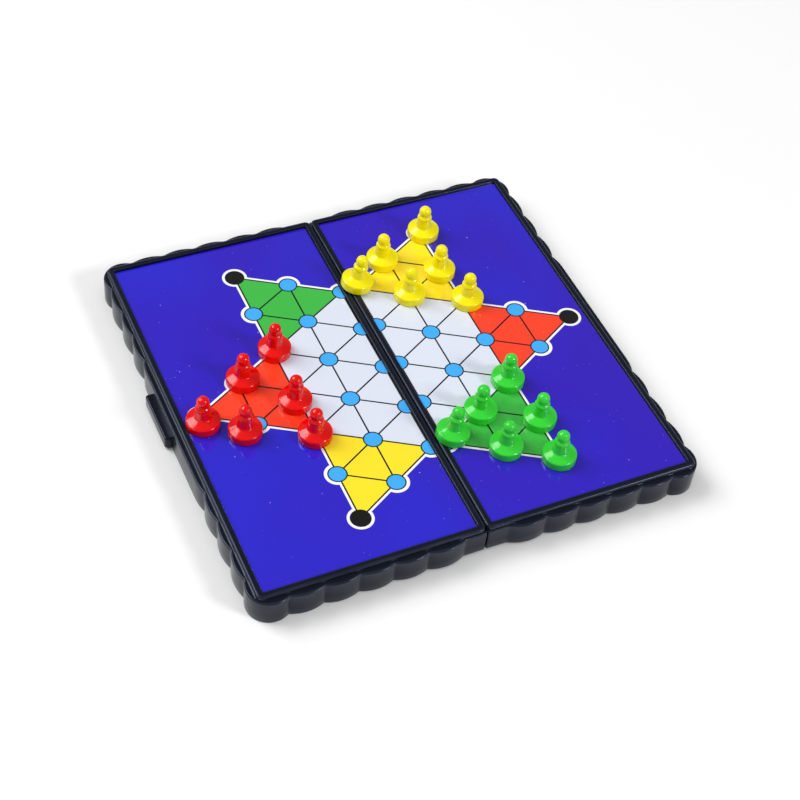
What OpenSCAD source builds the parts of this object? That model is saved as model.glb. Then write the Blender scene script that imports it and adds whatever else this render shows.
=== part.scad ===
// Folding magnetic Chinese checkers set: two open-bottomed trays hinged along the middle,
// a printed steel sheet in the top of each, and eighteen magnetic pawns.
// Millimetres. +X runs across the seam to the right, +Y to the back, +Z up.
// The origin is the bottom centre of the whole set, on the surface it rests on.

/* [Playing field] */
// Distance between neighbouring spots of the star
spot_pitch = 15.3; // [12.6:0.1:20]
// Distance from the sheets' seam edge to the first column of spots
seam_margin = 0.3; // [0:0.1:2]
// Distance from the star's left and right tips to the sheets' outer edges
side_margin = 4.9; // [3:0.1:12]
// Distance from the star's front and back tips to the sheets' ends
end_margin = 13.05; // [4:0.05:20]
// Thickness of the printed and laminated sheet
print_t = 0.15; // [0.1:0.05:0.4]
// Thickness of the steel sheet below the print
steel_t = 0.3; // [0.2:0.05:0.6]

/* [Trays] */
// Height of the playing face above the table
face_h = 8.15; // [6.5:0.05:12]
// Height of the raised rim above the playing face
rim_h = 0.75; // [0.4:0.05:1.2]
// Width of the raised rim
rim_w = 1.75; // [1.2:0.05:3]
// Radius of the rim's outer corners
rim_corner_r = 1.6; // [0.5:0.1:3]
// Drop of the ledge round the rim, below the playing face
ledge_drop = 0.45; // [0.1:0.05:1]
// Thickness of the plate under the sheets
plate_t = 1.3; // [0.8:0.1:2]
// Thickness of the outer walls at the valleys of the scallops
wall_t = 1.5; // [1:0.1:2.2]
// Gap between the two trays at the seam
seam_gap = 0.3; // [0.2:0.05:0.8]

/* [Scalloped walls] */
// Straight front and back wall outside the rim, beside the seam
straight_set = 0.5; // [0.2:0.1:1.5]
// Valleys of the front and back scallops outside the rim
end_valley_set = 0.95; // [0.4:0.05:2]
// Depth of the front and back scallops
end_depth = 1; // [0.4:0.05:1.6]
// Distance from the seam to the first scallop
end_start = 7.2; // [5:0.1:12]
// Number of whole scallops on each front and back wall
end_count = 5; // [2:1:8]
// Valleys of the side scallops outside the rim
side_valley_set = 0.85; // [0.4:0.05:2]
// Depth of the side scallops
side_depth = 0.85; // [0.4:0.05:1.6]
// Half length of the straight stretch of each side wall
side_straight = 19.5; // [10:0.1:30]
// Number of whole scallops beside each corner of the side walls
side_count = 3; // [1:1:6]
// Radius of the rounded corner of each tray
corner_r = 6.1; // [3:0.1:9]
// Distance from the corner's rounding to the last valley
corner_lead = 3.4; // [2:0.1:6]

/* [Thumb tab] */
// Length of the tab on the left wall
tab_l = 16.8; // [10:0.1:24]
// How far the tab stands out from the wall
tab_proud = 1.9; // [1:0.1:4]
// Height of the tab
tab_h = 3.8; // [2:0.1:5]
// Height of the tab's underside above the table
tab_lift = 0.5; // [0.2:0.1:1.2]
// Distance from the middle of the wall to the middle of the tab
tab_offset = 6.9; // [0:0.1:14]

/* [Hinge] */
// Radius of the hinge pins
pin_r = 0.45; // [0.35:0.05:0.6]
// Plastic round each hinge pin
knuckle_wall = 0.45; // [0.35:0.05:0.8]
// Length of each of the two outer knuckles, on the left tray
outer_knuckle_l = 4; // [2.5:0.1:8]
// Length of the middle knuckle, on the right tray
inner_knuckle_l = 5; // [2.5:0.1:8]
// Distance from the middle of the seam to each hinge
hinge_y = 38; // [20:0.5:50]
// Radial clearance of the turning knuckle round its pin
pin_clearance = 0.05; // [0.02:0.01:0.1]
// Radial grip of the fixed knuckles on the pin
pin_grip = 0.01; // [0:0.005:0.03]
// Gap round and between the knuckles
knuckle_gap = 0.2; // [0.15:0.05:0.4]

/* [Pawns] */
// Radius of the pawn's base
base_r = 4.6; // [4:0.1:5.5]
// Height of the straight band round the base
band_h = 2.1; // [1.4:0.1:2.6]
// Radius of the neck where it leaves the shoulder
neck_foot_r = 2.3; // [2:0.05:2.8]
// Height of the neck's foot
neck_foot_h = 3.45; // [3:0.05:4.2]
// Radius of the neck under the collar
neck_top_r = 1.9; // [1.6:0.05:2]
// Radius of the collar
collar_r = 2.1; // [1.8:0.05:2.5]
// Height of the collar's middle
collar_h = 6.7; // [6:0.05:7]
// Radius of the head
head_r = 1.75; // [1.6:0.05:2]
// Height of the head's centre
head_h = 8.8; // [8.6:0.05:9.6]
// Radius of the magnet in the base
magnet_r = 2.5; // [1.5:0.1:3]
// Thickness of the magnet
magnet_t = 1.5; // [1:0.1:2]

/* [Hidden] */

// Clearances
sheet_gap = 0.1;
pawn_gap = 0.05;
magnet_gap = 0.05;
magnet_recess = 0.1;
cut = 1;

// Sides of round solids
bar_sides = 48;
magnet_sides = 36;
pawn_sides = 48;

// Heights
rim_top = face_h + rim_h;
ledge_h = face_h - ledge_drop;
pocket_floor = face_h - print_t - steel_t;
ceiling_h = pocket_floor - plate_t;

// Plan of one half, measured from the seam. The star's half has four columns past the first,
// and its tips are three spots to the front and back of the middle.
column_pitch = spot_pitch * sqrt(3) / 2;
half_gap = seam_gap / 2;
sheet_x0 = half_gap + rim_w;
first_column = sheet_x0 + seam_margin;
sheet_w = seam_margin + 4 * column_pitch + side_margin;
sheet_l = 2 * (3 * spot_pitch + end_margin);
rim_x = sheet_x0 + sheet_w + rim_w;
rim_y = sheet_l / 2 + rim_w;
straight_y = rim_y + straight_set;
valley_y = rim_y + end_valley_set;
crest_y = valley_y + end_depth;
valley_x = rim_x + side_valley_set;
crest_x = valley_x + side_depth;
corner_x = crest_x - corner_r;
corner_y = crest_y - corner_r;
end_pitch = (corner_x - corner_lead - end_start) / end_count;
side_last = corner_y - corner_lead;
side_pitch = (side_last - side_straight) / (side_count + 0.5);

// Hinge
knuckle_r = pin_r + knuckle_wall;
hinge_h = knuckle_r;
notch_r = knuckle_r + knuckle_gap;
pin_l = 2 * outer_knuckle_l + inner_knuckle_l + 2 * knuckle_gap;

// The wall bottoms rise from the outer walls to the hinge axis, so that the trays close flush
land_x = valley_x - wall_t;

// The origin is the middle of the whole width, and the tab is on the left only
seam_x = tab_proud / 2;

// Scallop heights along a wall: a row of arches between cusps
arch_steps = 8;
corner_steps = 12;
plan_steps = 4;
function arch(t) = 4 * t * (1 - t);
function whole_steps(count) = [for (i = [0 : count * arch_steps - 1]) i / arch_steps];
function fraction(t) = t - floor(t);

// Where the first arch, carried on past its cusp, meets the straight wall
first_t = (1 - sqrt(1 + (end_valley_set - straight_set) / end_depth)) / 2;

// Outline of one half from the seam round the front corner to the middle of the side wall
end_points = [
    for (t = concat([first_t], whole_steps(end_count)))
        [end_start + t * end_pitch, -valley_y - end_depth * arch(t < 0 ? t : fraction(t))]
];
end_lead_points = [
    for (i = [0 : arch_steps - 1])
        let (s = i / arch_steps)
        [corner_x - corner_lead * (1 - s), -valley_y - end_depth * s * (2 - s)]
];
corner_points = [
    for (i = [0 : corner_steps])
        let (a = 90 * i / corner_steps)
        [corner_x + corner_r * sin(a), -corner_y - corner_r * cos(a)]
];
side_lead_points = [
    for (i = [1 : arch_steps])
        let (s = i / arch_steps)
        [crest_x - side_depth * s * s, -corner_y + corner_lead * s]
];
side_points = [
    for (t = [1 / arch_steps : 1 / arch_steps : side_count + 0.5])
        [valley_x + side_depth * arch(fraction(t)), -side_last + t * side_pitch]
];
quarter_outline = concat(
    [[half_gap, -straight_y]], end_points, end_lead_points,
    corner_points, side_lead_points, side_points
);
half_outline = concat(
    quarter_outline,
    [for (i = [len(quarter_outline) - 1 : -1 : 0]) [quarter_outline[i][0], -quarter_outline[i][1]]]
);

// Pawns: column and row of the spot, then how far off it the pawn stands along X and Y,
// as a share of the free room between the bases of two neighbours
spot_room = spot_pitch - 2 * base_r;
red_places = [
    [2, 1, 0.04, -0.02], [3, 0.5, 0.25, 0], [2, 0, -0.22, -0.69],
    [4, 0, -0.07, -0.5], [3, -0.5, -0.69, -0.31], [2, -1, -0.11, -0.24]
];
yellow_places = [
    [2, 3, 0.19, -0.13], [1, 2.5, -0.3, -0.02], [2, 2, -0.2, -0.33],
    [0, 2, 0.08, 0.13], [1, 1.5, 0.01, -0.03], [2, 1, 0.26, 0.02]
];
green_places = [
    [2, -1, -0.22, -0.19], [1, -1.5, -0.02, -0.21], [2, -2, 0.08, -0.26],
    [0, -2, 0.39, 0.22], [1, -2.5, 0.13, 0.05], [2, -3, -0.1, 0.03]
];

// A pawn stands clear of the outer rim
outermost_x = sheet_x0 + sheet_w - base_r - pawn_gap;
function along_x(place, side) = first_column + place[0] * column_pitch + side * place[2] * spot_room;
function spot_x(place, side) = side * min(along_x(place, side), outermost_x);
function spot_y(place) = place[1] * spot_pitch + place[3] * spot_room;

// Pawn profile: radius and height, from the magnet pocket out and up to the top of the head
foot_edge_r = 0.25;
foot_r = base_r - foot_edge_r;
foot_steps = 3;
shoulder_r = 0.5;
shoulder_end = 66;
shoulder_steps = 4;
collar_round = 0.9;
collar_end = 50;
collar_steps = 6;
groove_r = 1.5;
head_start = acos(groove_r / head_r);
head_steps = 10;
groove_h = (collar_h + collar_round * sin(collar_end) + head_h - head_r * sin(head_start)) / 2;
pocket_r = magnet_r + magnet_gap;
pocket_h = magnet_t + magnet_recess;
function arc_points(cx, cz, r, a0, a1, n) = [
    for (i = [0 : n]) let (a = a0 + (a1 - a0) * i / n) [cx + r * cos(a), cz + r * sin(a)]
];
pawn_profile = concat(
    [[0, pocket_h], [pocket_r, pocket_h], [pocket_r, 0]],
    arc_points(foot_r, foot_edge_r, foot_edge_r, -90, 0, foot_steps),
    arc_points(base_r - shoulder_r, band_h, shoulder_r, 0, shoulder_end, shoulder_steps),
    [[neck_foot_r, neck_foot_h], [neck_top_r, collar_h - collar_round]],
    arc_points(collar_r - collar_round, collar_h, collar_round, -collar_end, collar_end, collar_steps),
    [[groove_r, groove_h]],
    arc_points(0, head_h, head_r, -head_start, 90, head_steps)
);

module at_seam() {
    translate([seam_x, 0, 0]) children();
}

// One half of the set, on the right of the seam
module right_shell() {
    difference() {
        union() {
            linear_extrude(ledge_h) polygon(half_outline);
            rim_block();
        }
        sheet_pocket();
        storage_hollow();
        table_slope();
    }
}

module rim_block() {
    translate([0, 0, ceiling_h])
        linear_extrude(rim_top - ceiling_h)
            rounded_box_plan(half_gap, rim_x, rim_y, rim_corner_r);
}

// Plan with rounded corners on all four corners
module rounded_box_plan(x0, x1, half_l, r) {
    polygon([
        for (corner = [[x1 - r, half_l - r, 0], [x0 + r, half_l - r, 90],
                       [x0 + r, r - half_l, 180], [x1 - r, r - half_l, 270]])
            for (i = [0 : plan_steps])
                let (a = corner[2] + 90 * i / plan_steps)
                [corner[0] + r * cos(a), corner[1] + r * sin(a)]
    ]);
}

module sheet_pocket() {
    translate([sheet_x0, -sheet_l / 2, pocket_floor]) cube([sheet_w, sheet_l, rim_top]);
}

module storage_hollow() {
    hollow_y = straight_y - wall_t;
    translate([half_gap + wall_t, -hollow_y, -cut])
        cube([land_x - half_gap - wall_t, 2 * hollow_y, ceiling_h + cut]);
}

module table_slope() {
    translate([0, crest_y + cut, 0])
        rotate([90, 0, 0])
            linear_extrude(2 * (crest_y + cut))
                polygon([[-cut, -cut], [land_x, -cut], [land_x, 0], [0, hinge_h], [-cut, hinge_h]]);
}

// A run of round bar on the hinge axis, centred on the given place along the seam
module hinge_bar(y, length, r) {
    translate([0, y + length / 2, hinge_h])
        rotate([90, 0, 0])
            cylinder(h = length, r = r, $fn = bar_sides);
}

module outer_knuckles(y, r, grow) {
    for (end = [-1, 1])
        hinge_bar(y + end * (inner_knuckle_l + outer_knuckle_l) / 2 + end * knuckle_gap,
                  outer_knuckle_l + 2 * grow, r);
}

module left_tray() {
    color("#2b3140") at_seam() difference() {
        union() {
            difference() {
                union() {
                    mirror([1, 0, 0]) right_shell();
                    thumb_tab();
                }
                for (y = [-hinge_y, hinge_y])
                    hinge_bar(y, inner_knuckle_l + 2 * knuckle_gap, notch_r);
            }
            for (y = [-hinge_y, hinge_y]) outer_knuckles(y, knuckle_r, 0);
        }
        for (y = [-hinge_y, hinge_y]) outer_knuckles(y, pin_r - pin_grip, cut);
    }
}

module right_tray() {
    color("#2b3140") at_seam() difference() {
        union() {
            difference() {
                right_shell();
                for (y = [-hinge_y, hinge_y]) outer_knuckles(y, notch_r, knuckle_gap);
            }
            for (y = [-hinge_y, hinge_y]) hinge_bar(y, inner_knuckle_l, knuckle_r);
        }
        for (y = [-hinge_y, hinge_y])
            hinge_bar(y, inner_knuckle_l + 2 * cut, pin_r + pin_clearance);
    }
}

// Grip on the left wall, with rounded outer corners in plan
module thumb_tab() {
    tab_corner = 0.8;
    tab_root = crest_x - wall_t / 2;
    translate([0, tab_offset, tab_lift])
        linear_extrude(tab_h)
            mirror([1, 0, 0])
                rounded_box_plan(tab_root, crest_x + tab_proud, tab_l / 2, tab_corner);
}

module sheet(side, z, t) {
    at_seam()
        translate([side < 0 ? -sheet_x0 - sheet_w + sheet_gap : sheet_x0 + sheet_gap,
                   sheet_gap - sheet_l / 2, z])
            cube([sheet_w - 2 * sheet_gap, sheet_l - 2 * sheet_gap, t]);
}

module steel_sheet(side) {
    color("#a8acb2") sheet(side, pocket_floor, steel_t);
}

module printed_sheet(side) {
    color("#3a3fc8") sheet(side, face_h - print_t, print_t);
}

module hinge_pin(y) {
    color("#c8ccd2") at_seam() hinge_bar(y, pin_l, pin_r);
}

// Stands a pawn on the playing face. One that reaches over the seam rim leans on its edge.
module stand(place, side) {
    x = spot_x(place, side);
    foot_x = x + foot_r;
    lean = side > 0 && x - base_r < sheet_x0 ? atan(rim_h / (foot_x - sheet_x0)) : 0;
    at_seam()
        translate([foot_x, spot_y(place), face_h + pawn_gap])
            rotate([0, lean, 0])
                translate([-foot_r, 0, 0]) children();
}

module pawn(place, side) {
    stand(place, side) rotate_extrude($fn = pawn_sides) polygon(pawn_profile);
}

module magnet(place, side) {
    color("#8f949b") stand(place, side)
        translate([0, 0, magnet_recess]) cylinder(h = magnet_t, r = magnet_r, $fn = magnet_sides);
}

left_tray();
right_tray();
steel_sheet(-1);  // left_steel_sheet
steel_sheet(1);  // right_steel_sheet
printed_sheet(-1);  // left_printed_sheet
printed_sheet(1);  // right_printed_sheet
hinge_pin(-hinge_y);  // front_hinge_pin
hinge_pin(hinge_y);  // back_hinge_pin
for (i = [0 : 5]) {
    color("#d8180f") pawn(red_places[i], -1);
    color("#f6e03a") pawn(yellow_places[i], 1);
    color("#5ee060") pawn(green_places[i], 1);
    magnet(red_places[i], -1);
    magnet(yellow_places[i], 1);
    magnet(green_places[i], 1);
}
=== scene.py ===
import bpy
import numpy as np
from mathutils import Matrix, Vector


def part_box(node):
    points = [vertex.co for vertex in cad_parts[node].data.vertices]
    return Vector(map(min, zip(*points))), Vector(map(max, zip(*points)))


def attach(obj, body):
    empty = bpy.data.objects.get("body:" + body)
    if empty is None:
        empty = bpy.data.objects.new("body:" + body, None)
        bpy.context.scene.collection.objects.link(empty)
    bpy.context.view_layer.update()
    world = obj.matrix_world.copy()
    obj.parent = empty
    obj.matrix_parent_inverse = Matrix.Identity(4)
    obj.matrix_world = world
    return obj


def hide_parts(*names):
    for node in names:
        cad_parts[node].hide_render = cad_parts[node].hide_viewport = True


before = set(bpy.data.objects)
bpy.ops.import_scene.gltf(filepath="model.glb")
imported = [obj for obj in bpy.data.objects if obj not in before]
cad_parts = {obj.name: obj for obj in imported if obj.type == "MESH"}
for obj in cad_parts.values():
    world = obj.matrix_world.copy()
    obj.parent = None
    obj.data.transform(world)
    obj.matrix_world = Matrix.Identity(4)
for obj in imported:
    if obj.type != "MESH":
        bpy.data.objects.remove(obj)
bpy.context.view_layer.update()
mm = 0.001
rng = np.random.default_rng(20)

# The seam lies midway between the knuckles that each tray puts across it
seamX = (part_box("left_tray")[1].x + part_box("right_tray")[0].x) / 2


def linearColour(hexValue):
    # sRGB hex to the linear values that shaders take
    srgb = np.array([int(hexValue[i:i + 2], 16) for i in (1, 3, 5)]) / 255
    linear = np.where(srgb <= 0.04045, srgb / 12.92, ((srgb + 0.055) / 1.055) ** 2.4)
    return (*linear, 1)


def addNode(tree, kind, *inputs, out=0, named=None, **settings):
    # adds one node, sets it, fills its inputs in order or by name, and gives back one output
    node = tree.nodes.new("ShaderNode" + kind)
    for name, value in settings.items():
        setattr(node, name, value)
    for key, value in [*enumerate(inputs), *(named or {}).items()]:
        if isinstance(value, bpy.types.NodeSocket):
            tree.links.new(value, node.inputs[key])
        elif value is not None:
            node.inputs[key].default_value = value
    return node.outputs[out] if node.outputs else node


def newMaterial(name):
    # an empty node material and its tree
    material = bpy.data.materials.new(name)
    material.use_nodes = True
    material.node_tree.nodes.clear()
    return material, material.node_tree


def finishMaterial(tree, **sockets):
    # one Principled shader: a socket's name is its key with spaces for underscores
    named = {name.replace("_", " "): value for name, value in sockets.items()}
    shader = addNode(tree, "BsdfPrincipled", named=named)
    addNode(tree, "OutputMaterial", shader)


def closedMesh(name, rows, sharp, closeRows=False):
    # rows is [row, column, xyz]: neighbouring rows are joined by quads round a closed column
    # loop, and the first and last rows are joined to each other or each closed by a flat face.
    # Edges that turn more than the sharp angle, in degrees, stay crisp.
    rowCount, columnCount, _ = rows.shape
    joined = rowCount if closeRows else rowCount - 1
    r, c = np.meshgrid(np.arange(joined), np.arange(columnCount), indexing="ij")
    nextR, nextC = (r + 1) % rowCount, (c + 1) % columnCount
    quads = np.stack([r * columnCount + c, r * columnCount + nextC,
                      nextR * columnCount + nextC, nextR * columnCount + c], -1).reshape(-1, 4)
    faces = quads.tolist()
    if not closeRows:
        faces.append(np.arange(columnCount)[::-1].tolist())
        faces.append(((rowCount - 1) * columnCount + np.arange(columnCount)).tolist())
    mesh = bpy.data.meshes.new(name)
    mesh.from_pydata(rows.reshape(-1, 3), [], faces)
    mesh.validate()
    # the signed volume, summed over tetrahedra to the origin, tells whether faces point inwards
    p = rows[r, c], rows[r, nextC], rows[nextR, nextC], rows[nextR, c]
    volume = sum(np.einsum("ijk,ijk->", p[0], np.cross(p[a], p[a + 1])) for a in (1, 2))
    if volume < 0:
        mesh.flip_normals()
    mesh.polygons.foreach_set("use_smooth", np.ones(len(mesh.polygons), bool))
    mesh.set_sharp_from_angle(angle=np.radians(sharp))
    mesh.update()
    piece = bpy.data.objects.new(name, mesh)
    bpy.context.scene.collection.objects.link(piece)
    return piece


def place(piece, body, slotName, material, *nodes):
    # gives a piece its material and body, and hides the CAD nodes it stands for
    piece.data.materials.append(material)
    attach(piece, body)
    if nodes:
        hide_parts(*nodes)


def arc(centre, radius, start, end, steps):
    # points of a circular arc, angle by angle in degrees: the centre plus the radius times
    # the cosine across and the sine up
    a = np.radians(np.linspace(start, end, steps))
    return np.stack([centre[0] + radius * np.cos(a), centre[1] + radius * np.sin(a)], 1)


def lathe(profile, segments):
    # each profile point [r, z] becomes a ring round the Z axis: x is r times the cosine of the
    # ring's angle, y is r times its sine, and z stays
    a = np.linspace(0, 2 * np.pi, segments, endpoint=False)
    ring = np.stack([np.cos(a), np.sin(a)], 1)
    rows = np.empty((len(profile), segments, 3))
    rows[:, :, :2] = profile[:, None, :1] * ring
    rows[:, :, 2] = profile[:, 1:]
    return rows


print("materials")

trayFinish = {
    "colour": "#0c101b",
    "wornColour": "#292f3c",
    "nick": "#c9c6bd",
    "nickCell": 5 * mm,
    "nickSize": 0.22 * mm,
    "nickShare": 0.25,         # share of the cells that hold a nick
    "nickFrom": 0.25,          # only where the edge is rubbed more than this
    "roughness": (0.15, 0.26),
    "shine": "#d4e0ff",
    "shineLevel": 0.37,
    "grain": 0.35 * mm,        # real spark-eroded grain is finer; drawn so that it shows
    "grainDepth": 0.04 * mm,
    "flow": 14 * mm,           # slow change of gloss along the melt's path
}


def trayPlastic():
    # High-impact polystyrene moulded in a satin tool: near-black navy with a soft broad sheen,
    # a faint grain, and edges rubbed a little lighter
    material, tree = newMaterial("navy black polystyrene")
    position = addNode(tree, "TexCoord", out="Object")
    flow = addNode(tree, "TexNoise", named={"Vector": position, "Scale": 1 / trayFinish["flow"],
                                            "Detail": 3.0})
    grain = addNode(tree, "TexNoise", named={"Vector": position, "Scale": 1 / trayFinish["grain"],
                                             "Detail": 2.0})
    edge = addNode(tree, "Attribute", out="Fac", attribute_name="rubbed")
    rubbed = addNode(tree, "Math", edge, flow, operation="MULTIPLY")
    colour = addNode(tree, "Mix", rubbed, data_type="RGBA", out=2, named={
        6: linearColour(trayFinish["colour"]), 7: linearColour(trayFinish["wornColour"])})
    # pale nicks on the rubbed edges only, one speck to a cell
    cells = addNode(tree, "TexVoronoi", out="Distance",
                    named={"Vector": position, "Scale": 1 / trayFinish["nickCell"]})
    pick = addNode(tree, "SeparateColor", cells.node.outputs["Color"])
    size = addNode(tree, "MapRange", pick, 1 - trayFinish["nickShare"], 1.0, 0.0,
                   trayFinish["nickSize"] / trayFinish["nickCell"])
    nick = addNode(tree, "Math", cells, size, operation="LESS_THAN")
    onEdge = addNode(tree, "Math", edge, trayFinish["nickFrom"], operation="GREATER_THAN")
    nick = addNode(tree, "Math", nick, onEdge, operation="MULTIPLY")
    colour = addNode(tree, "Mix", nick, data_type="RGBA", out=2, named={
        6: colour, 7: linearColour(trayFinish["nick"])})
    rough = addNode(tree, "MapRange", flow, 0.3, 0.7, *trayFinish["roughness"])
    bump = addNode(tree, "Bump", named={"Strength": 0.12, "Distance": trayFinish["grainDepth"],
                                        "Height": grain})
    finishMaterial(tree, Base_Color=colour, Roughness=rough, Normal=bump,
                   Specular_IOR_Level=trayFinish["shineLevel"],
                   Specular_Tint=linearColour(trayFinish["shine"]))
    return material


pawnFinish = {
    "roughness": 0.16,
    "index": 1.5,
    "flow": 5 * mm,
    "ripple": 1.2 * mm,
    "rippleDepth": 0.03 * mm,
    "glow": 0.4,
    "glowDepth": 0.8 * mm,
    # main colour, colour of the thicker melt, and how far red, green and blue light spread
    "red": ("#f00200", "#e20100", (1.0, 0.06, 0.03)),
    "yellow": ("#fff000", "#ffe800", (1.0, 0.8, 0.1)),
    "green": ("#3edc3f", "#31cf37", (0.3, 1.0, 0.3)),
}


def pawnPlastic(colourName):
    # Glossy crystal-type polystyrene: bright solid colour, a hard clear shine and a little light
    # carried inside thin places such as the collar
    hexValue, deepHex, glowSpread = pawnFinish[colourName]
    material, tree = newMaterial(f"{colourName} polystyrene")
    position = addNode(tree, "TexCoord", out="Object")
    flow = addNode(tree, "TexNoise", named={"Vector": position, "Scale": 1 / pawnFinish["flow"],
                                            "Detail": 2.0})
    colour = addNode(tree, "Mix", flow, data_type="RGBA", out=2, named={
        6: linearColour(hexValue), 7: linearColour(deepHex)})
    ripple = addNode(tree, "TexNoise", named={"Vector": position,
                                              "Scale": 1 / pawnFinish["ripple"]})
    bump = addNode(tree, "Bump", named={"Strength": 0.1, "Distance": pawnFinish["rippleDepth"],
                                        "Height": ripple})
    finishMaterial(tree, Base_Color=colour, Roughness=pawnFinish["roughness"],
                   IOR=pawnFinish["index"], Normal=bump, Subsurface_Weight=pawnFinish["glow"],
                   Subsurface_Radius=glowSpread, Subsurface_Scale=pawnFinish["glowDepth"])
    return material


starPrint = {
    "pitch": 15.3 * mm,
    "firstColumn": 2.2 * mm,
    "line": 0.46 * mm,
    "soft": 0.04 * mm,
    "dot": 2.68 * mm,
    "tipDot": 2.8 * mm,
    "dotEdge": 0.36 * mm,
    "halo": 0.85 * mm,
    "ring": 3.55 * mm,
    "field": "#2822c8",
    "fieldShade": "#3117b8",
    "cloud": 45 * mm,              # slow drift between the field's two blues
    "centre": "#dbe1f0",
    "white": "#f8f8fc",
    "black": "#0a0a0c",
    "spot": "#40acf9",
    "yellow": "#ffe428",
    "green": "#3eb846",
    "orange": "#ff4226",
    "dust": ((3.6 * mm, 0.2 * mm, 0.6), (1.3 * mm, 0.14 * mm, 0.25)),   # cell, speck, strength
    "roughness": 0.32,             # of the ink under the laminate
    "dustRoughness": 0.5,          # how much a speck of dust adds to that
    "swell": 9 * mm,               # slow waves in the laminate
    "swellDepth": 0.05 * mm,
    "gloss": 0.04,                 # roughness of the laminate
    "glossIndex": 1.62,
    "tipFrom": 3.05,               # spots farther than this from the middle are the star's tips
    "nearStar": 0.3,               # spots farther than this outside the star aren't printed
}


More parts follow.
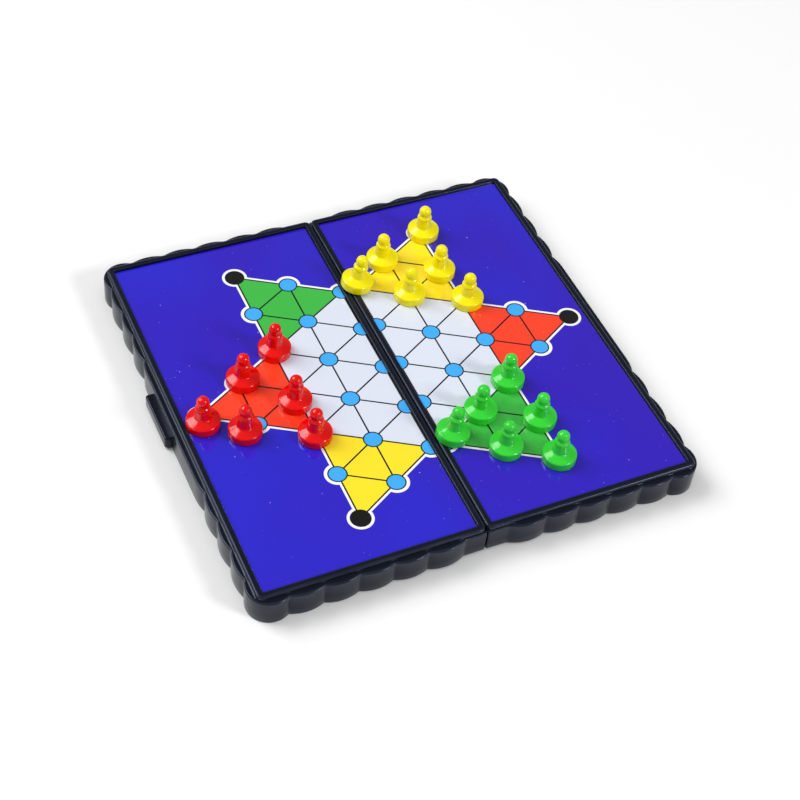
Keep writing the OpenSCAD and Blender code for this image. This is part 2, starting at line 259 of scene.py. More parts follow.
def printedStar(name, side, backColour, frontColour):
    # Offset print under a clear laminate: half of a six-pointed star on a triangular lattice.
    # U runs from the star's middle column outwards and V to the back, both in spot pitches.
    s = starPrint
    pitch = s["pitch"]
    column = np.sqrt(3) / 2
    reach = np.sqrt(3)
    material, tree = newMaterial(name)
    position = addNode(tree, "TexCoord", out="Object")
    split = addNode(tree, "SeparateXYZ", position)
    x, y = split, split.node.outputs[1]
    u = addNode(tree, "Math", x, side / pitch, -(side * seamX + s["firstColumn"]) / pitch,
                operation="MULTIPLY_ADD")
    v = addNode(tree, "Math", y, 1 / pitch, operation="MULTIPLY")
    absV = addNode(tree, "Math", v, operation="ABSOLUTE")
    # distances past the star's slanting sides, measured square to them
    tall = addNode(tree, "Math", absV, column, operation="MULTIPLY")
    falling = addNode(tree, "Math", u, 0.5, tall, operation="MULTIPLY_ADD")
    rising = addNode(tree, "Math", u, -0.5, tall, operation="MULTIPLY_ADD")
    pastFalling = addNode(tree, "Math", falling, reach, operation="SUBTRACT")
    pastRising = addNode(tree, "Math", rising, reach, operation="SUBTRACT")
    pastColumn = addNode(tree, "Math", u, reach, operation="SUBTRACT")
    otherTriangle = addNode(tree, "Math", pastRising, pastColumn, operation="MAXIMUM")
    outside = addNode(tree, "Math", pastFalling, otherTriangle, operation="MINIMUM")
    # distance to the nearest lattice line in each of the three directions
    toLine = None
    for run in (u, falling, rising):
        steps = addNode(tree, "Math", run, 1 / column, operation="MULTIPLY")
        away = addNode(tree, "Math", steps, 0.5, operation="PINGPONG")
        toLine = away if toLine is None else addNode(tree, "Math", toLine, away, operation="MINIMUM")
    toLine = addNode(tree, "Math", toLine, column, operation="MULTIPLY")
    # distance to the nearest spot: the lattice is two rectangular ones, half a cell apart
    alongU = addNode(tree, "Math", u, 1 / reach, operation="MULTIPLY")
    cellU = addNode(tree, "Math", alongU, 0.5, operation="PINGPONG")
    cellV = addNode(tree, "Math", v, 0.5, operation="PINGPONG")
    spots = []
    for sign, start in ((1, 0), (-1, 0.5)):
        offU = addNode(tree, "Math", cellU, sign * reach, start * reach, operation="MULTIPLY_ADD")
        offV = addNode(tree, "Math", cellV, sign, start, operation="MULTIPLY_ADD")
        both = addNode(tree, "CombineXYZ", offU, offV)
        spots.append(addNode(tree, "VectorMath", both, operation="LENGTH", out="Value"))
    toSpot = addNode(tree, "Math", *spots, operation="MINIMUM")
    fromMiddle = addNode(tree, "CombineXYZ", u, v)
    fromMiddle = addNode(tree, "VectorMath", fromMiddle, operation="LENGTH", out="Value")
    isTip = addNode(tree, "Math", fromMiddle, s["tipFrom"], operation="GREATER_THAN")
    inReach = addNode(tree, "Math", outside, s["nearStar"], operation="LESS_THAN")
    soft = s["soft"] / pitch

    def within(distance, limit):
        # 1 where the distance is under the limit, with a soft printed edge
        return addNode(tree, "MapRange", distance, limit - soft, limit + soft, 1.0, 0.0)

    def paint(under, mask, over):
        # lays one colour over another where the mask is 1
        over = linearColour(over) if isinstance(over, str) else over
        under = linearColour(under) if isinstance(under, str) else under
        return addNode(tree, "Mix", mask, data_type="RGBA", out=2, named={6: under, 7: over})

    # painted from the bottom up: field, white halo, coloured points, centre, lines and spots
    cloud = addNode(tree, "TexNoise", named={"Vector": position, "Scale": 1 / s["cloud"],
                                             "Detail": 1.0})
    cloud = addNode(tree, "MapRange", cloud, 0.35, 0.65)
    colour = paint(s["field"], cloud, s["fieldShade"])
    halo = within(outside, s["halo"] / pitch)
    ring = addNode(tree, "Math", within(toSpot, s["ring"] / pitch), inReach, operation="MULTIPLY")
    colour = paint(colour, addNode(tree, "Math", halo, ring, operation="MAXIMUM"), s["white"])
    isBack = addNode(tree, "Math", v, 0.0, operation="GREATER_THAN")
    points = paint(s[frontColour], isBack, s[backColour])
    beyondColumn = addNode(tree, "Math", pastColumn, 0.0, operation="GREATER_THAN")
    points = paint(points, beyondColumn, s["orange"])
    inHexagon = addNode(tree, "Math", pastFalling, pastColumn, operation="MAXIMUM")
    points = paint(points, within(inHexagon, 0.0), s["centre"])
    colour = paint(colour, within(outside, 0.0), points)
    halfLine = s["line"] / 2 / pitch
    lines = addNode(tree, "Math", within(toLine, halfLine), within(outside, halfLine),
                    operation="MULTIPLY")
    colour = paint(colour, lines, s["black"])
    extra = addNode(tree, "Math", isTip, (s["tipDot"] - s["dot"]) / pitch, operation="MULTIPLY")
    spotEdge = addNode(tree, "Math", toSpot, extra, operation="SUBTRACT")
    dot = addNode(tree, "Math", within(spotEdge, s["dot"] / pitch), inReach, operation="MULTIPLY")
    colour = paint(colour, dot, s["black"])
    notTip = addNode(tree, "Math", 1.0, isTip, operation="SUBTRACT")
    fill = addNode(tree, "Math", within(toSpot, (s["dot"] - s["dotEdge"]) / pitch), notTip,
                   operation="MULTIPLY")
    fill = addNode(tree, "Math", fill, inReach, operation="MULTIPLY")
    colour = paint(colour, fill, s["spot"])
    # dust on the laminate, fine and coarse: one speck in some of the cells
    faint = None
    for cell, speck, strength in s["dust"]:
        cells = addNode(tree, "TexVoronoi", out="Distance",
                        named={"Vector": position, "Scale": 1 / cell})
        pick = addNode(tree, "SeparateColor", cells.node.outputs["Color"])
        size = addNode(tree, "MapRange", pick, 0.5, 1.0, 0.0, speck / cell)
        dust = addNode(tree, "Math", cells, size, operation="LESS_THAN")
        dust = addNode(tree, "Math", dust, pick.node.outputs[1], operation="MULTIPLY")
        dust = addNode(tree, "Math", dust, strength, operation="MULTIPLY")
        faint = dust if faint is None else addNode(tree, "Math", faint, dust, operation="MAXIMUM")
    colour = paint(colour, faint, s["white"])
    rough = addNode(tree, "Math", faint, s["dustRoughness"], s["roughness"],
                    operation="MULTIPLY_ADD")
    swell = addNode(tree, "TexNoise", named={"Vector": position, "Scale": 1 / s["swell"],
                                             "Detail": 1.0})
    bump = addNode(tree, "Bump", named={"Strength": 0.2, "Distance": s["swellDepth"],
                                        "Height": swell})
    finishMaterial(tree, Base_Color=colour, Roughness=rough, Specular_IOR_Level=0.0,
                   Coat_Weight=1.0, Coat_Roughness=s["gloss"], Coat_IOR=s["glossIndex"],
                   Coat_Normal=bump)
    return material


steelFinish = {
    "tin plate": ("#a9adb3", 0.4 * mm),             # colour and spacing of its drawing lines
    "drawn steel wire": ("#c3c7cc", 0.15 * mm),
    "stretch": 0.04,               # the lines change this much more slowly along Y
}


def drawnSteel(name):
    # Bare steel with fine drawing lines along Y and a dull zinc-grey shine
    hexValue, spacing = steelFinish[name]
    material, tree = newMaterial(name)
    position = addNode(tree, "TexCoord", out="Object")
    stretch = addNode(tree, "Mapping", position, named={
        "Scale": (1 / spacing, steelFinish["stretch"] / spacing, 1 / spacing)})
    lines = addNode(tree, "TexNoise", named={"Vector": stretch, "Scale": 1.0, "Detail": 4.0})
    rough = addNode(tree, "MapRange", lines, 0.3, 0.7, 0.28, 0.5)
    bump = addNode(tree, "Bump", named={"Strength": 0.2, "Distance": 0.02 * mm, "Height": lines})
    finishMaterial(tree, Base_Color=linearColour(hexValue), Metallic=1.0, Roughness=rough,
                   Normal=bump)
    return material


ferriteFinish = {"colour": "#2b2b2e", "worn": "#4a4a4e", "pit": 0.5 * mm, "roughness": 0.6}


def sinteredFerrite():
    # Pressed and fired ceramic magnet: charcoal, matt and slightly pitted
    material, tree = newMaterial("sintered ferrite")
    position = addNode(tree, "TexCoord", out="Object")
    pits = addNode(tree, "TexNoise", named={"Vector": position, "Scale": 1 / ferriteFinish["pit"],
                                            "Detail": 4.0})
    colour = addNode(tree, "Mix", pits, data_type="RGBA", out=2, named={
        6: linearColour(ferriteFinish["colour"]), 7: linearColour(ferriteFinish["worn"])})
    bump = addNode(tree, "Bump", named={"Strength": 0.4, "Distance": 0.05 * mm, "Height": pits})
    finishMaterial(tree, Base_Color=colour, Roughness=ferriteFinish["roughness"], Normal=bump)
    return material


navyPlastic = trayPlastic()
pawnPlastics = {name: pawnPlastic(name) for name in ("red", "yellow", "green")}
starPrints = {
    "left": printedStar("laminated star print left", -1, "green", "yellow"),
    "right": printedStar("laminated star print right", 1, "yellow", "green"),
}
tinPlate = drawnSteel("tin plate")
hingeWire = drawnSteel("drawn steel wire")
ferrite = sinteredFerrite()


print("trays")

tray = {
    "seamGap": 0.3 * mm,
    "sheetGap": 0.1 * mm,          # round the sheets in their pocket
    "wall": 1.5 * mm,
    "ledgeDrop": 0.45 * mm,
    "rimCorner": 1.6 * mm,
    "rimInnerEdge": 0.22 * mm,
    "rimOuterEdge": 0.5 * mm,
    "ledgeEdge": 0.4 * mm,
    "footEdge": 0.2 * mm,
    "plate": 1.3 * mm,
    "endStraight": 0.5 * mm,       # front and back wall outside the rim, beside the seam
    "endValley": 0.95 * mm,
    "endStart": 7.2 * mm,
    "endCount": 5,
    "endDepth": 1.0 * mm,
    "sideStraight": 19.5 * mm,
    "sideValley": 0.85 * mm,
    "sideCount": 3,
    "sideDepth": 0.85 * mm,
    "corner": 6.1 * mm,
    "cornerLead": 3.4 * mm,
    "pocketCorner": 0.4 * mm,
    "hollowCorner": 1.0 * mm,
    "seamCorner": 0.5 * mm,
    "ledgeFillet": 0.12 * mm,
    "seamStep": 0.1 * mm,          # spacing of the rows down the flat seam face, above the ledge
    "notchStep": 0.03 * mm,        # a notch's end wall is squeezed into twice this
    "ceilingEdge": 0.6 * mm,
    "samples": 22,                 # across each scallop
}
knuckle = {
    "radius": 0.9 * mm,
    "bore": 0.5 * mm,
    "gap": 0.2 * mm,
    "inner": 5.0 * mm,
    "outer": 4.0 * mm,
    "edge": 0.12 * mm,
    "segments": 40,
}

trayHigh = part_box("right_tray")[1]
sheetLow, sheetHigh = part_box("right_printed_sheet")
halfGap = tray["seamGap"] / 2      # from the middle of the seam to each tray
seamEven, seamEnd = 50 * mm, 60 * mm   # the seam's samples are even up to here, then stretched
touching = 1e-7                    # closer than this counts as on the seam face
rowGap = 1e-6                      # keeps the ledge's two meeting rows apart
cornerSteps, seamCornerSteps = 16, 9
rimTop = trayHigh.z
ledgeHeight = sheetHigh.z - tray["ledgeDrop"]
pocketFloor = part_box("right_steel_sheet")[0].z
ceiling = pocketFloor - tray["plate"]
pocketX0 = sheetLow.x - seamX - tray["sheetGap"]
pocketX1 = sheetHigh.x - seamX + tray["sheetGap"]
pocketHalf = sheetHigh.y + tray["sheetGap"]
rimWidth = pocketX0 - halfGap
rimX1 = pocketX1 + rimWidth
rimHalf = pocketHalf + rimWidth
crestX = trayHigh.x - seamX
cornerX = crestX - tray["corner"]
cornerY = trayHigh.y - tray["corner"]
hollowHalf = rimHalf + tray["endStraight"] - tray["wall"]
hollowX1 = rimX1 + tray["sideValley"] - tray["wall"]
hingeHeight = knuckle["radius"]
hingeY = (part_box("back_hinge_pin")[0].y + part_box("back_hinge_pin")[1].y) / 2


def arch(t):
    # height of a scallop across its width, 0 at the cusps and 1 in the middle
    return 4 * t * (1 - t)


def alongPath(path, shares):
    # points at the given shares of a polyline's length
    lengths = np.r_[0, np.cumsum(np.hypot(*np.diff(path, axis=0).T))]
    return np.stack([np.interp(shares * lengths[-1], lengths, path[:, k]) for k in (0, 1)], 1)


def stations(notches):
    # sample places shared by every row of a tray. A scallop's height is its depth times the
    # arch of its share of the width, and the lead to a corner falls off with the distance
    # squared. A notch's end in the seam gets two places close together. The bare counts only say
    # how finely each run is sampled.
    span = np.linspace(0, seamEven, 30)
    steps = np.array([y + d for y in notches for d in (-tray["notchStep"], tray["notchStep"])])
    seamRun = np.unique(np.r_[span, steps, np.linspace(seamEven, seamEnd, 6)])
    pitch = (cornerX - tray["cornerLead"] - tray["endStart"]) / tray["endCount"]
    drop = (tray["endValley"] - tray["endStraight"]) / tray["endDepth"]
    first = (1 - np.sqrt(1 + drop)) / 2
    straight = np.linspace(halfGap + tray["rimCorner"], tray["endStart"] + first * pitch, 8)[:-1]
    t = np.r_[np.linspace(first, 0, 4)[:-1],
              np.arange(tray["endCount"] * tray["samples"]) / tray["samples"]]
    lead = np.linspace(cornerX - tray["cornerLead"], cornerX, 12)
    frontX = np.r_[straight, tray["endStart"] + t * pitch, lead]
    rise = np.where(t < 0, arch(t), arch(t % 1))
    leadRise = 1 - ((cornerX - lead) / tray["cornerLead"]) ** 2
    valley = rimHalf + tray["endValley"]
    frontY = np.r_[np.full(len(straight), rimHalf + tray["endStraight"]),
                   valley + tray["endDepth"] * rise, valley + tray["endDepth"] * leadRise]
    last = cornerY - tray["cornerLead"]
    sidePitch = (last - tray["sideStraight"]) / (tray["sideCount"] + 0.5)
    sideLead = np.linspace(cornerY, last, 12)[:-1]
    count = tray["sideCount"] * tray["samples"] + tray["samples"] // 2
    ts = np.arange(count + 1) / tray["samples"]
    sideY = np.r_[sideLead, last - ts * sidePitch, np.linspace(tray["sideStraight"], 0, 9)[1:]]
    sideRise = np.r_[1 - ((cornerY - sideLead) / tray["cornerLead"]) ** 2, arch(ts % 1),
                     np.ones(8)]
    sideX = rimX1 + tray["sideValley"] + tray["sideDepth"] * sideRise
    return {"seam": seamRun, "frontX": frontX, "frontY": frontY, "sideY": sideY, "sideX": sideX}


def wholeLoop(front):
    # the front half's points, seam to side, then their mirror image back to the seam
    back = front[::-1] * (1, -1)
    return np.concatenate([front, back[1:-1]])


def seamAndCorner(at, x, end, radius):
    # a straight run along the seam side at x, its last stretch scaled to reach end, and then a
    # quarter circle that turns to the front
    y = at["seam"]
    scaled = seamEven + (y - seamEven) * (end - seamEven) / (seamEnd - seamEven)
    y = np.where(y > seamEven, scaled, y)
    seam = np.stack([np.full(len(y), x), -y], 1)
    corner = arc((x + radius, -end), radius, 180, 270, seamCornerSteps)[1:]
    return np.concatenate([seam, corner])


def boxLoop(at, x0, x1, half, radius):
    # rounded rectangle, sampled so that each point faces its neighbour on the scalloped wall
    seam = seamAndCorner(at, x0, half - radius, radius)
    xs = at["frontX"]
    stretch = (cornerX - x0 - radius) / (cornerX - xs[0])
    front = np.stack([cornerX - (cornerX - xs) * stretch, np.full(len(xs), -half)], 1)[1:]
    bend = arc((x1 - radius, radius - half), radius, 270, 360, 24)
    path = np.concatenate([[[cornerX, -half]], bend, [[x1, -cornerY]]])
    farCorner = alongPath(path, np.linspace(0, 1, cornerSteps))[1:]
    side = np.stack([np.full(len(at["sideY"]), x1), -at["sideY"]], 1)[1:]
    return wholeLoop(np.concatenate([seam, front, farCorner, side]))


def scallopLoop(at, inset):
    # the scalloped outline, moved inwards square to itself except on the flat seam face: each
    # point goes along the left-hand normal of the line between its two neighbours
    radius = tray["seamCorner"]
    seam = seamAndCorner(at, halfGap, rimHalf + tray["endStraight"] - radius, radius)
    front = np.stack([at["frontX"], -at["frontY"]], 1)[1:]
    farCorner = arc((cornerX, -cornerY), tray["corner"], 270, 360, cornerSteps)[1:]
    side = np.stack([at["sideX"], -at["sideY"]], 1)[1:]
    loop = wholeLoop(np.concatenate([seam, front, farCorner, side]))
    along = np.roll(loop, -1, 0) - np.roll(loop, 1, 0)
    along /= np.hypot(*along.T)[:, None]
    inward = np.stack([-along[:, 1], along[:, 0]], 1)
    inward[:, 0] *= np.abs(loop[:, 0] - halfGap) > touching
    return loop + inset * inward


def trayRows(at, notchSpans):
    # Every row of one tray, from the pocket floor over the rim, down the scalloped wall,
    # under its foot and up inside to the ceiling; also how rubbed each row is. Each broken edge
    # is a quarter round: inset by its radius times one less the cosine, and down by its radius
    # times one less the sine.
    rows, rubbed = [], []

    def add(loop, z, wear=0.0):
        # one more row at height z, with how rubbed it is
        z = np.broadcast_to(z, len(loop))
        rows.append(np.column_stack([loop, z]))
        rubbed.append(wear)

    def pocketAt(out):
        # the sheets' pocket, grown by out
        return boxLoop(at, pocketX0 - out, pocketX1 + out, pocketHalf + out,
                       tray["pocketCorner"] + out)

    def rimAt(inset):
        # the rim's outside, drawn in by inset
        radius = tray["rimCorner"] - inset
        return boxLoop(at, halfGap + inset, rimX1 - inset, rimHalf - inset, radius)

    def hollowAt(out):
        # the hollow underneath, grown by out
        return boxLoop(at, halfGap + tray["wall"] - out, hollowX1 + out, hollowHalf + out,
                       tray["hollowCorner"] + out)

    def underside(loop):
        # wall bottoms rise in a straight line from the table to the hinge axis; the other
        # tray's knuckles need a round notch about that axis
        x, y = loop.T
        z = hingeHeight * np.clip(1 - x / hollowX1, 0, 1)
        reach = knuckle["radius"] + knuckle["gap"]
        notch = hingeHeight + np.sqrt(np.clip(reach ** 2 - x ** 2, 0, None))
        inSpan = np.zeros(len(x), bool)
        for low, high in notchSpans:
            inSpan |= (np.abs(y) > low) & (np.abs(y) < high)
        return np.where(inSpan & (x < reach), np.maximum(z, notch), z)

    # on the seam the rim and the wall are one flat face, so its rows only step down it
    plain = rimAt(0)
    onSeam = np.abs(plain[:, 0] - halfGap) < touching

    edge = tray["rimInnerEdge"]
    add(pocketAt(0), pocketFloor)
    add(pocketAt(0), rimTop - edge)
    for a in np.radians(np.linspace(0, 90, 5))[1:]:
        add(pocketAt(edge * (1 - np.cos(a))), rimTop - edge * (1 - np.sin(a)), 0.5)
    edge = tray["rimOuterEdge"]
    for share in (0.35, 0.7):
        middle = pocketAt(tray["rimInnerEdge"]) * (1 - share) + rimAt(edge) * share
        add(middle, rimTop, 0.1)
    for a in np.radians(np.linspace(90, 0, 7)):
        add(rimAt(edge * (1 - np.cos(a))), rimTop - edge * (1 - np.sin(a)), 0.9)
    wallFoot = rimAt(0)
    outer = scallopLoop(at, 0)
    topEdge = tray["ledgeEdge"]
    shelf = scallopLoop(at, topEdge)
    step = tray["seamStep"]
    add(wallFoot, ledgeHeight + np.where(onSeam, 3 * step, tray["ledgeFillet"]))
    for share, steps in ((0.2, 2), (0.7, 1)):
        across = wallFoot * (1 - share) + shelf * share
        across[onSeam, 0] = halfGap
        add(across, ledgeHeight + np.where(onSeam, steps * step, 0))
    for a in np.radians(np.linspace(90, 0, 7)):
        loop = scallopLoop(at, topEdge * (1 - np.cos(a)))
        add(loop, ledgeHeight - topEdge * (1 - np.sin(a)) - rowGap, 1.0)
    foot = tray["footEdge"]
    bottom = underside(outer)
    for share in (0.3, 0.65):
        add(outer, (ledgeHeight - topEdge) * (1 - share) + (bottom + foot) * share)
    for a in np.radians(np.linspace(0, 90, 4)):
        loop = scallopLoop(at, foot * (1 - np.cos(a)))
        add(loop, underside(loop) + foot * (1 - np.sin(a)), 0.8)
    shelfOut, shelfIn = scallopLoop(at, foot), hollowAt(foot)
    for share in (0.33, 0.66):
        middle = shelfOut * (1 - share) + shelfIn * share
        add(middle, underside(middle), 0.3)
    for a in np.radians(np.linspace(90, 0, 4)):
        loop = hollowAt(foot * np.sin(a))
        add(loop, underside(loop) + foot * (1 - np.sin(a)), 0.4)
    inside = hollowAt(0)
    edge = tray["ceilingEdge"]
    add(inside, (underside(inside) + ceiling) / 2)
    for a in np.radians(np.linspace(0, 90, 5)):
        add(hollowAt(-edge * (1 - np.cos(a))), ceiling - edge * (1 - np.sin(a)))
    return np.array(rows), np.array(rubbed)


def buildTray(name, side, notchSpans):
    # a tray's rows run outwards from the seam, and side -1 mirrors them to the left; how rubbed
    # each row is goes with its points
    at = stations([y for span in notchSpans for y in span])
    rows, rubbed = trayRows(at, notchSpans)
    world = rows.copy()
    world[:, :, 0] = seamX + side * rows[:, :, 0]
    piece = closedMesh(name, world, sharp=50)
    wear = piece.data.attributes.new("rubbed", "FLOAT", "POINT")
    wear.data.foreach_set("value", np.repeat(rubbed, rows.shape[1]).astype(np.float32))
    return piece


def knuckleSpans(length, centres, grow):
    # where knuckles of one length start and end along Y, with a gap added at both ends
    return [(hingeY + c - length / 2 - grow, hingeY + c + length / 2 + grow) for c in centres]


outerCentre = (knuckle["inner"] + knuckle["outer"]) / 2 + knuckle["gap"]
middleSpans = knuckleSpans(knuckle["inner"], [0], knuckle["gap"])
endSpans = knuckleSpans(knuckle["outer"], [-outerCentre, outerCentre], knuckle["gap"])
place(buildTray("leftTray", -1, middleSpans), "left_half", "tray_plastic", navyPlastic, "left_tray")
place(buildTray("rightTray", 1, endSpans), "right_half", "tray_plastic", navyPlastic, "right_tray")


def buildKnuckle(name, y, length):
    # a short tube about the hinge axis with broken edges, as a closed ring profile turned round
    e, half = knuckle["edge"], length / 2
    r, bore = knuckle["radius"], knuckle["bore"]
    profile = np.array([[bore, -half + e], [bore + e, -half], [r - e, -half], [r, -half + e],
                        [r, half - e], [r - e, half], [bore + e, half], [bore, half - e]])
    rows = lathe(profile, knuckle["segments"])
    turned = np.stack([rows[:, :, 0] + seamX, rows[:, :, 2] + y, rows[:, :, 1] + hingeHeight], -1)
    return closedMesh(name, turned, closeRows=True, sharp=30)


for end, way in (("Front", -1), ("Back", 1)):
    middle = buildKnuckle(f"rightKnuckle{end}", way * hingeY, knuckle["inner"])
    place(middle, "right_half", "tray_plastic", navyPlastic)
    for number, off in enumerate((-outerCentre, outerCentre), 1):
        tube = buildKnuckle(f"leftKnuckle{end}{number}", way * hingeY + off, knuckle["outer"])
        place(tube, "left_half", "tray_plastic", navyPlastic)

thumbTab = {
    "length": 16.8 * mm,
    "height": 3.8 * mm,
    "lift": 0.5 * mm,
    "offset": 6.9 * mm,
    "rooted": 0.7 * mm,            # how deep the tab reaches into the wall
    "corner": 0.8 * mm,
    "edge": 0.45 * mm,
}


def buildThumbTab():
    # rounded rectangle in plan, drawn in towards its top and bottom by a quarter-round edge
    t = thumbTab
    x1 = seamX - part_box("left_tray")[0].x
    x0 = crestX - t["rooted"]
    a = np.radians(np.linspace(0, 90, 7))
    levels = np.r_[t["edge"] * (1 - np.sin(a))[::-1], t["height"] - t["edge"] * (1 - np.sin(a))]
    insets = np.r_[t["edge"] * (1 - np.cos(a))[::-1], t["edge"] * (1 - np.cos(a))]
    rows = []
    for level, inset in zip(levels, insets):
        radius = t["corner"] - inset * 0.5
        high, right = t["length"] / 2 - inset - radius, x1 - inset - radius
        outline = np.concatenate([
            [[x0, high + radius]], [[x0, -high - radius]],
            arc((right, -high), radius, 270, 360, 8), arc((right, high), radius, 0, 90, 8)])
        rows.append(np.column_stack([seamX - outline[:, 0], outline[:, 1] + t["offset"],
                                     np.full(len(outline), t["lift"] + level)]))
    return closedMesh("thumbTab", np.array(rows), sharp=40)


place(buildThumbTab(), "left_half", "tray_plastic", navyPlastic)


print("sheets and hinge wires")

sheet = {
    "corner": 0.35 * mm,
    "roll": 0.6,                   # share of the thickness that the cropped edge rolls over
}


def buildSheet(name, node):
    # a flat slab, rounded rectangles row by row, whose top edge is a quarter round where the
    # sheet was cropped
    low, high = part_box(node)
    roll = sheet["roll"] * (high.z - low.z)
    centre = np.array([(low.x + high.x) / 2, (low.y + high.y) / 2])
    halfSize = np.array([(high.x - low.x) / 2, (high.y - low.y) / 2])
    rows = []
    a = np.radians(np.linspace(0, 90, 5))
    steps = [(0, low.z)] + [(roll * (1 - np.cos(t)), high.z - roll * (1 - np.sin(t))) for t in a]
    for inset, z in steps:
        h = halfSize - inset
        radius = sheet["corner"]
        outline = np.concatenate([
            arc((sx * (h[0] - radius), sy * (h[1] - radius)), radius, start, start + 90, 5)
            for sx, sy, start in ((1, 1, 0), (-1, 1, 90), (-1, -1, 180), (1, -1, 270))])
        rows.append(np.column_stack([outline + centre, np.full(len(outline), z)]))
    return closedMesh(name, np.array(rows), sharp=40)


def refinish(node, material):
    # a CAD node that keeps its shape gets a better material
    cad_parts[node].data.materials.clear()
    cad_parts[node].data.materials.append(material)


for half in ("left", "right"):
    star = buildSheet(f"{half}Print", f"{half}_printed_sheet")
    place(star, f"{half}_half", "printed_sheet", starPrints[half], f"{half}_printed_sheet")
    refinish(f"{half}_steel_sheet", tinPlate)
for end in ("front", "back"):
    refinish(f"{end}_hinge_pin", hingeWire)


print("pawns")

pawn = {
    "footEdge": 0.25 * mm,
    "band": 2.1 * mm,              # height of the straight band round the base
    "shoulder": 0.5 * mm,
    "shoulderTurn": 64,            # degrees from the band to the slope
    "neckFoot": 2.3 * mm,
    "neckFootHeight": 3.45 * mm,
    "neckTop": 1.9 * mm,
    "collar": 2.1 * mm,
    "collarHeight": 6.7 * mm,
    "collarRound": 0.9 * mm,
    "collarTurns": (50, 54),       # degrees it curls in below and above
    "groove": 1.5 * mm,
    "head": 1.75 * mm,
    "gate": 0.5 * mm,
    "gateRises": (0.02 * mm, 0.05 * mm, 0.08 * mm),
    "partingLine": 0.02 * mm,
    "partingWidth": 0.16 * mm,
    "partingFade": 1.2 * mm,       # the parting line fades out nearer the axis than this
    "magnetRecess": 0.1 * mm,
    "magnetGap": 0.05 * mm,
    "magnetEdge": 0.12 * mm,
    "pocketEdge": 0.12 * mm,
    "pocketShare": 0.12,           # share of the profile's points that belong to the pocket
    "axis": 0.02 * mm,             # radius of the tiny face that closes a turned shape
    "upright": 0.01,               # a lean under this many radians is only rounding
    "segments": 72,
    "magnetSegments": 40,
}
magnetLow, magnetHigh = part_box("red_magnet_1")
magnetRadius = (magnetHigh.x - magnetLow.x) / 2
magnetThick = magnetHigh.z - magnetLow.z
pawnLow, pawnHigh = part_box("red_pawn_1")   # this pawn stands upright
pawnRadius = (pawnHigh.x - pawnLow.x) / 2
pawnHeight = pawnHigh.z - pawnLow.z


def smoothProfile(points, count):
    # a smooth curve through the points: cubic Hermite spans, whose parameter grows with the
    # square root of each chord, and whose slopes are the central differences
    t = np.r_[0, np.cumsum(np.hypot(*np.diff(points, axis=0).T) ** 0.5)]
    slopes = np.gradient(points, t, axis=0)
    s = np.linspace(0, t[-1], count)
    i = np.clip(np.searchsorted(t, s, "right") - 1, 0, len(t) - 2)
    h = (t[i + 1] - t[i])[:, None]
    f = ((s - t[i]) / (t[i + 1] - t[i]))[:, None]
    return ((1 + 2 * f) * (1 - f) ** 2 * points[i] + f * (1 - f) ** 2 * h * slopes[i]
            + f * f * (3 - 2 * f) * points[i + 1] + f * f * (f - 1) * h * slopes[i + 1])


def pawnProfile(gateHeight):
    # radius and height from the magnet pocket out over the foot and up to the gate mark: arcs
    # for the edges, collar and head, and short curves through points between them. A point that
    # lies between two others is a share of one plus the rest of the other, and the gate mark's
    # points are shares of its radius and rise.
    p = pawn
    pocket = magnetRadius + p["magnetGap"]
    depth = magnetThick + p["magnetRecess"]
    foot, band, shoulder = p["footEdge"], p["band"], p["shoulder"]
    neckFoot, neckFootHeight = p["neckFoot"], p["neckFootHeight"]
    headHeight = pawnHeight - p["head"]
    curlLow, curlHigh = p["collarTurns"]
    crown = arc((pawnRadius - shoulder, band), shoulder, 0, p["shoulderTurn"], 8)
    foothill = np.array([neckFoot, neckFootHeight])
    slope = smoothProfile(np.array([
        crown[-1], crown[-1] * 0.62 + foothill * 0.38 - (0, 0.01 * mm),
        foothill + (0.45 * mm, -0.15 * mm), foothill + (0.08 * mm, 0.04 * mm),
        foothill + (-0.06 * mm, 0.24 * mm)]), 14)[1:]
    collarLow = p["collarHeight"] - p["collarRound"] * np.sin(np.radians(curlLow))
    neck = smoothProfile(np.array([
        slope[-1], [neckFoot * 0.45 + p["neckTop"] * 0.55, neckFootHeight + 1.15 * mm],
        [p["neckTop"] + 0.02 * mm, p["collarHeight"] - p["collarRound"] - 0.1 * mm],
        [p["neckTop"] - 0.01 * mm, collarLow - 0.12 * mm]]), 9)[1:]
    collar = arc((p["collar"] - p["collarRound"], p["collarHeight"]), p["collarRound"],
                 -curlLow, curlHigh, 13)
    start = np.degrees(np.arccos(p["groove"] / p["head"]))
    grooveTop = headHeight - p["head"] * np.sin(np.radians(start))
    grooveLow = collar[-1, 1]
    groove = np.array([[p["groove"] + 0.02 * mm, grooveLow * 0.45 + grooveTop * 0.55],
                       [p["groove"] - 0.01 * mm, grooveLow * 0.15 + grooveTop * 0.85]])
    gateAngle = np.degrees(np.arccos(p["gate"] / p["head"]))
    head = arc((0, headHeight), p["head"], 3 - start, gateAngle, 24)
    top = head[-1, 1]
    rise = min(gateHeight, pawnHeight - top)
    gate = np.array([[0.9, 0.6], [0.78, 1], [0.5, 1], [0.3, 0.75], [0.06, 0.7]])
    gate = gate * (p["gate"], rise) + (0, top)
    edge = p["pocketEdge"]
    return np.concatenate([
        [[p["axis"], depth], [pocket, depth], [pocket, edge], [pocket + edge, 0]],
        arc((pawnRadius - foot, foot), foot, -90, 0, 6), [[pawnRadius, band * 0.55]],
        crown, slope, neck, collar, groove, head, gate])


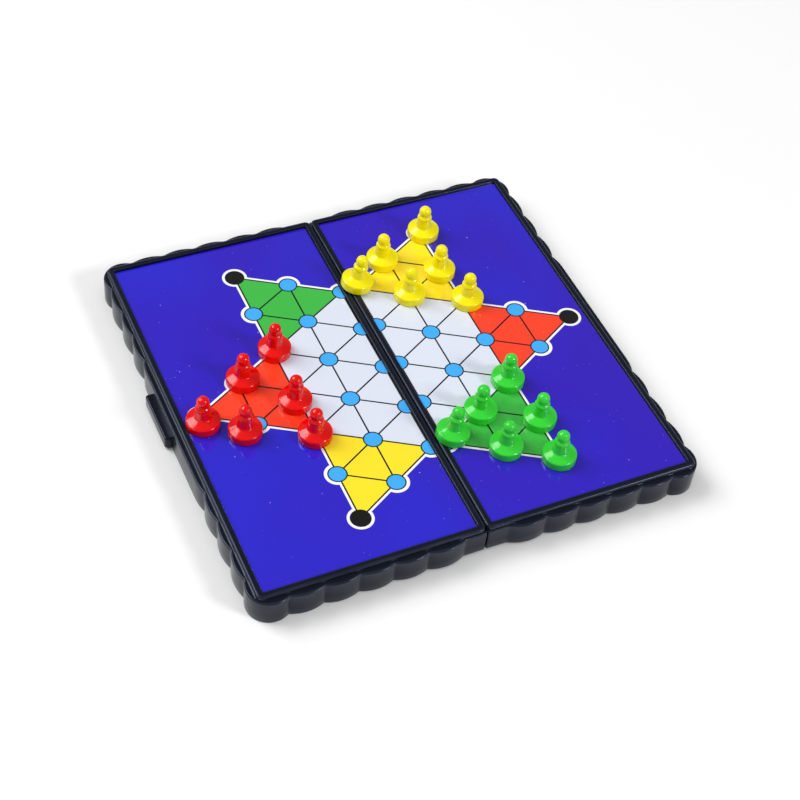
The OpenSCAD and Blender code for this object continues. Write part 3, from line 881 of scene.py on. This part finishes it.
def partingAngles(segments):
    # even steps round the axis, with a narrow raised seam at the two ends of the X axis: the
    # steps within 2.5 half widths of it make way for five close ones, and the middle one is raised
    a = np.linspace(0, np.pi, segments // 2, endpoint=False) + np.pi / segments
    half = pawn["partingWidth"] / 2 / pawnRadius
    a = np.r_[a[a > 2.5 * half], 0, -half, half, -2.2 * half, 2.2 * half]
    a = np.sort(np.mod(np.r_[a, a + np.pi], 2 * np.pi))
    raised = np.minimum(np.mod(a, np.pi), np.pi - np.mod(a, np.pi)) < 0.4 * half
    return a, raised


def turnedPawn(profile, segments):
    # the profile turned round Z, x is r times the cosine and y r times the sine of the angle,
    # and a hair's breadth prouder along the mould's parting line
    a, raised = partingAngles(segments)
    outside = np.linspace(0, 1, len(profile)) > pawn["pocketShare"]
    proud = pawn["partingLine"] * raised * outside[:, None]
    proud *= np.clip(profile[:, :1] / pawn["partingFade"] - 0.5, 0, 1)
    radius = profile[:, :1] - pawn["partingLine"] * outside[:, None] * 0.5 + proud
    rows = np.empty((len(profile), len(a), 3))
    rows[:, :, 0] = radius * np.cos(a)
    rows[:, :, 1] = radius * np.sin(a)
    rows[:, :, 2] = profile[:, 1:]
    return rows


def standing(colour, number):
    # where a pawn stands and how it leans, read from its magnet's box, whose centre is the
    # disc's own. A disc that leans by an angle is as wide as its diameter times the cosine plus
    # its thickness times the sine, and as tall the other way round: that gives the angle.
    low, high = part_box(f"{colour}_magnet_{number}")
    across, thick = 2 * magnetRadius, magnetThick
    wide, tall = high.x - low.x, high.z - low.z
    lean = np.arctan2(across * tall - thick * wide, across * wide - thick * tall)
    lean = 0.0 if lean < pawn["upright"] else lean
    turn = Matrix.Rotation(lean, 4, "Y")
    centre = (low + high) / 2
    foot = centre - turn @ Vector((0, 0, pawn["magnetRecess"] + thick / 2))
    return Matrix.Translation(foot) @ turn


def moved(rows, matrix):
    # every point turned by the matrix's 3 by 3 part and then shifted by its last column
    m = np.array(matrix)
    return rows @ m[:3, :3].T + m[:3, 3]


def magnetProfile():
    # a disc with broken edges, as radius and height
    r, thick, edge, axis = magnetRadius, magnetThick, pawn["magnetEdge"], pawn["axis"]
    return np.array([[axis, 0], [r - edge, 0], [r, edge], [r, thick - edge], [r - edge, thick],
                     [axis, thick]]) + (0, pawn["magnetRecess"])


for colour in ("red", "yellow", "green"):
    for number in range(1, 7):
        stand = standing(colour, number)
        spin = Matrix.Rotation(rng.uniform(0, 2 * np.pi), 4, "Z")
        gateHeight = rng.choice(pawn["gateRises"])
        shape = moved(turnedPawn(pawnProfile(gateHeight), pawn["segments"]), stand @ spin)
        body = closedMesh(f"{colour}Pawn{number}", shape, sharp=60)
        place(body, f"{colour}_piece_{number}", f"{colour}_plastic", pawnPlastics[colour],
              f"{colour}_pawn_{number}")
        disc = moved(lathe(magnetProfile(), pawn["magnetSegments"]), stand)
        disc = closedMesh(f"{colour}Magnet{number}", disc, sharp=30)
        place(disc, f"{colour}_piece_{number}", "magnet", ferrite, f"{colour}_magnet_{number}")


print("floor, light and camera")

# lengths in metres, angles in degrees, lamp power in watts, lens and sensor in millimetres
stage = {
    "floorSize": 6.0,
    "floorColour": "#f6f6f6",
    "sky": "#ffffff",
    "skyStrength": 0.22,
    "lampDistance": 1.5,
}
lamps = {
    "left soft box": {"azimuth": -132, "elevation": 46, "size": 0.9, "power": 16.0},
    "right soft box": {"azimuth": 38, "elevation": 34, "size": 0.34, "power": 9.4},
    "overhead fill": {"azimuth": -30, "elevation": 80, "size": 1.4, "power": 6.2, "glossy": False},
}
camera = {
    "azimuth": -29.06,
    "elevation": 47.96,
    "roll": 6.92,
    "lens": 76.43,
    "sensor": 36,
    "nearest": 0.01,
    "distance": 0.46504,
    "shiftRight": 0.00231,
    "shiftUp": -0.00968,
}


def addFloor():
    # one big square of matt white paper under the set, which belongs to the studio
    half = stage["floorSize"] / 2
    corners = np.array([[-half, -half, 0], [half, -half, 0], [half, half, 0], [-half, half, 0]])
    mesh = bpy.data.meshes.new("floor")
    mesh.from_pydata(corners, [], [[0, 1, 2, 3]])
    floor = bpy.data.objects.new("floor", mesh)
    bpy.context.scene.collection.objects.link(floor)
    material, tree = newMaterial("white paper sweep")
    finishMaterial(tree, Base_Color=linearColour(stage["floorColour"]), Roughness=0.8)
    mesh.materials.append(material)


def addLamp(name, azimuth, elevation, size, power, glossy=True):
    # a square soft box that faces the board from the given direction; a fill lamp only brightens
    # and leaves no reflection of itself
    a, e = np.radians([azimuth, elevation])
    back = Vector((np.sin(a) * np.cos(e), -np.cos(a) * np.cos(e), np.sin(e)))
    lamp = bpy.data.lights.new(name, "AREA")
    lamp.size = size
    lamp.energy = power
    holder = bpy.data.objects.new(name, lamp)
    holder.location = back * stage["lampDistance"]
    holder.rotation_mode = "QUATERNION"
    holder.rotation_quaternion = back.to_track_quat("Z", "Y")
    holder.visible_glossy = glossy
    bpy.context.scene.collection.objects.link(holder)


def addCamera():
    # looks back along the direction given by azimuth and elevation at the middle of the seam,
    # rolled about it, then shifted by a little sideways and up
    c = camera
    a, e, roll = np.radians([c["azimuth"], c["elevation"], c["roll"]])
    back = np.array([np.sin(a) * np.cos(e), -np.cos(a) * np.cos(e), np.sin(e)])
    level = np.array([np.cos(a), np.sin(a), 0])
    upright = np.cross(back, level)
    right = np.cos(roll) * level + np.sin(roll) * upright
    up = np.cross(back, right)
    aim = np.array([seamX, 0, sheetHigh.z])
    spot = aim + back * c["distance"] + right * c["shiftRight"] + up * c["shiftUp"]
    data = bpy.data.cameras.new("camera")
    data.lens = c["lens"]
    data.sensor_width = c["sensor"]
    data.clip_start = c["nearest"]
    holder = bpy.data.objects.new("camera", data)
    holder.matrix_world = Matrix([[*row, p] for row, p in zip(np.stack([right, up, back], 1), spot)]
                                 + [[0, 0, 0, 1]])
    bpy.context.scene.collection.objects.link(holder)
    bpy.context.scene.camera = holder


def addSky():
    # even white light from all round
    world = bpy.data.worlds.new("studio")
    world.use_nodes = True
    background = world.node_tree.nodes["Background"]
    background.inputs[0].default_value = linearColour(stage["sky"])
    background.inputs[1].default_value = stage["skyStrength"]
    bpy.context.scene.world = world


addFloor()
addSky()
for name, numbers in lamps.items():
    addLamp(name, **numbers)
addCamera()
bpy.context.scene.view_settings.view_transform = "Standard"
